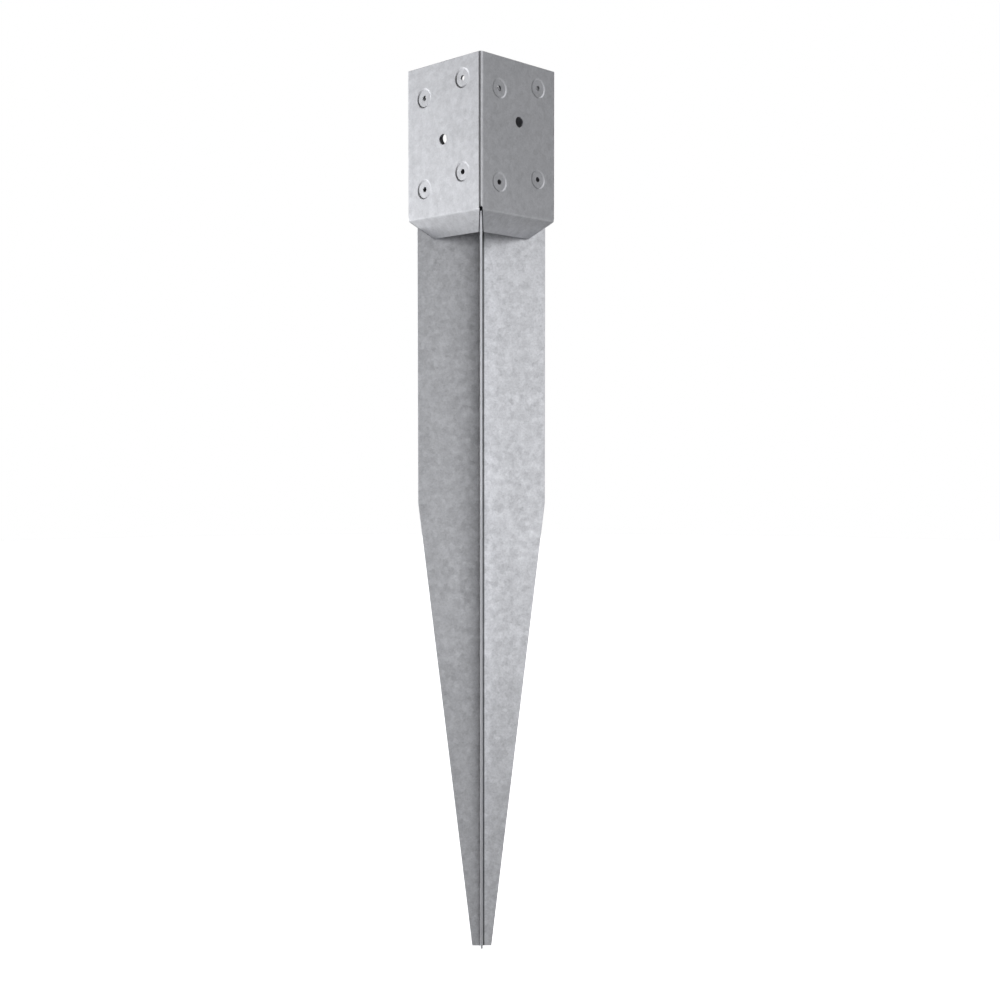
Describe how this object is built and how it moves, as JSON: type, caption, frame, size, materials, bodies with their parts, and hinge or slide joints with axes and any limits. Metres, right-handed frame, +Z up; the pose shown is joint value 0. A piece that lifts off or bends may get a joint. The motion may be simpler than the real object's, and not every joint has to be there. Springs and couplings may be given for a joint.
{
  "type": "post anchor spike",
  "caption": "Galvanised steel drive-in post anchor: an open square socket with dimpled screw holes and bolt holes, on a long tapered blade of cross-shaped fins.",
  "frame": {"origin": "middle of the post's seat: on the blade's axis, at the tops of the fins, level with the line along which the socket's walls fold inwards", "axes": "+Z up along the post and blade, out of the socket's mouth; +X and +Y square to the socket's walls; the fins lie along the diagonals; front is -Y and right is +X"},
  "size_m": [0.101, 0.101, 0.85],
  "materials": {
    "galvanised_sheet": "hot-dip galvanised, matt grey with a fine mottle",
    "galvanised_weld": "weld bead under the same zinc coat, a little rougher"
  },
  "bodies": {
    "root": {"socket": "galvanised_sheet", "socket_seam_weld": "galvanised_weld", "blade_plate_front": "galvanised_sheet", "blade_plate_rear": "galvanised_sheet", "blade_stitch_welds": "galvanised_weld", "fin_welds_front_left": "galvanised_weld", "fin_welds_front_right": "galvanised_weld", "fin_welds_rear_left": "galvanised_weld", "fin_welds_rear_right": "galvanised_weld"}
  },
  "joints": []
}
